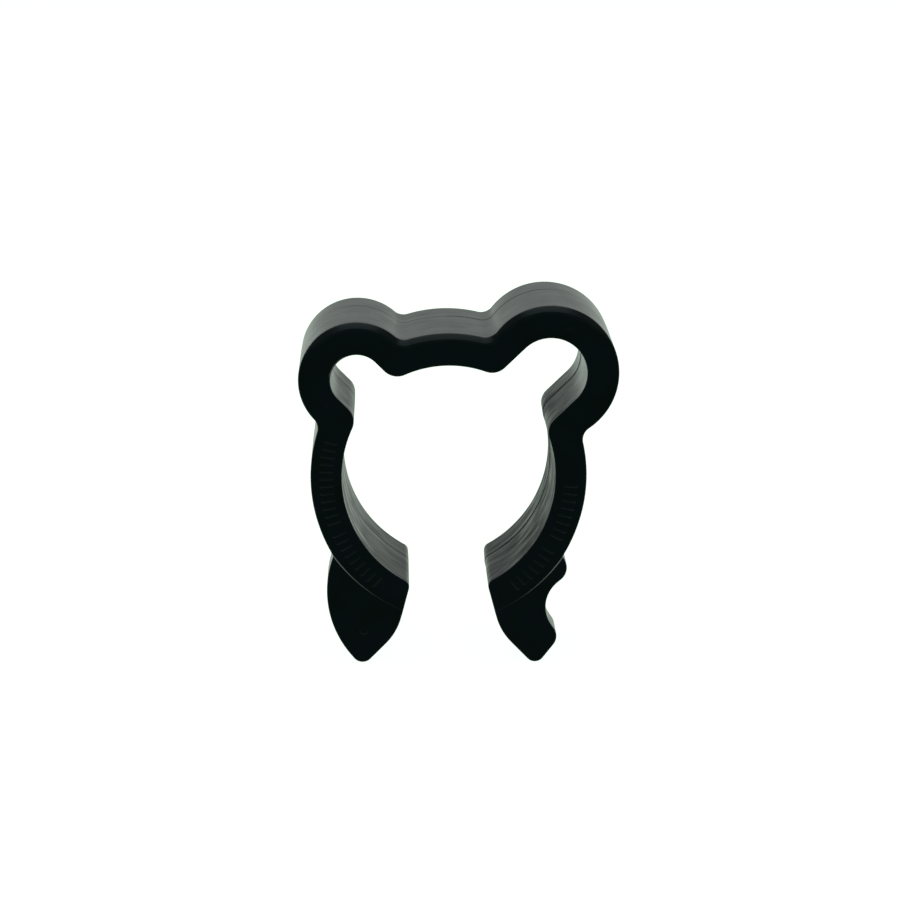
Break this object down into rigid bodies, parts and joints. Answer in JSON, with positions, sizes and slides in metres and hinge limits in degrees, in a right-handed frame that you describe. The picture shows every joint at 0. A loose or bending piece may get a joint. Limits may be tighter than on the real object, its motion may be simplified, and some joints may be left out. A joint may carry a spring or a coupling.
{
  "type": "fence insulator",
  "caption": "Push-fit plastic fence insulator: an arched crown, a spring loop at each shoulder and curved jaws that grip a round pipe, with a wire notch in the toe below the larger loop.",
  "frame": {"origin": "on the axis of the pipe that the clip grips, half way through the clip's depth", "axes": "+X towards the large loop and the notched toe, +Y along the pipe and away from the marked front face, +Z from the throat up to the crown"},
  "size_m": [0.0631, 0.0253, 0.0733],
  "materials": {
    "black_plastic": "satin as moulded"
  },
  "bodies": {
    "frame_band": {"crown_bridge": "black_plastic", "large_loop": "black_plastic", "small_loop": "black_plastic"},
    "notched_side": {"notched_jaw": "black_plastic", "notched_toe": "black_plastic"},
    "plain_side": {"plain_jaw": "black_plastic", "plain_toe": "black_plastic"}
  },
  "joints": [
    {"name": "large_loop_flex", "type": "hinge", "parent": "frame_band", "child": "notched_side", "pos_m": [0.02316, 0, 0.02244], "axis": [0, -1, 0], "range_deg": [-6, 18], "stiffness_Nm_per_rad": 12, "deforming": ["large_loop"]},
    {"name": "small_loop_flex", "type": "hinge", "parent": "frame_band", "child": "plain_side", "pos_m": [-0.02054, 0, 0.02076], "axis": [0, 1, 0], "range_deg": [-6, 18], "stiffness_Nm_per_rad": 15, "deforming": ["small_loop"]}
  ]
}
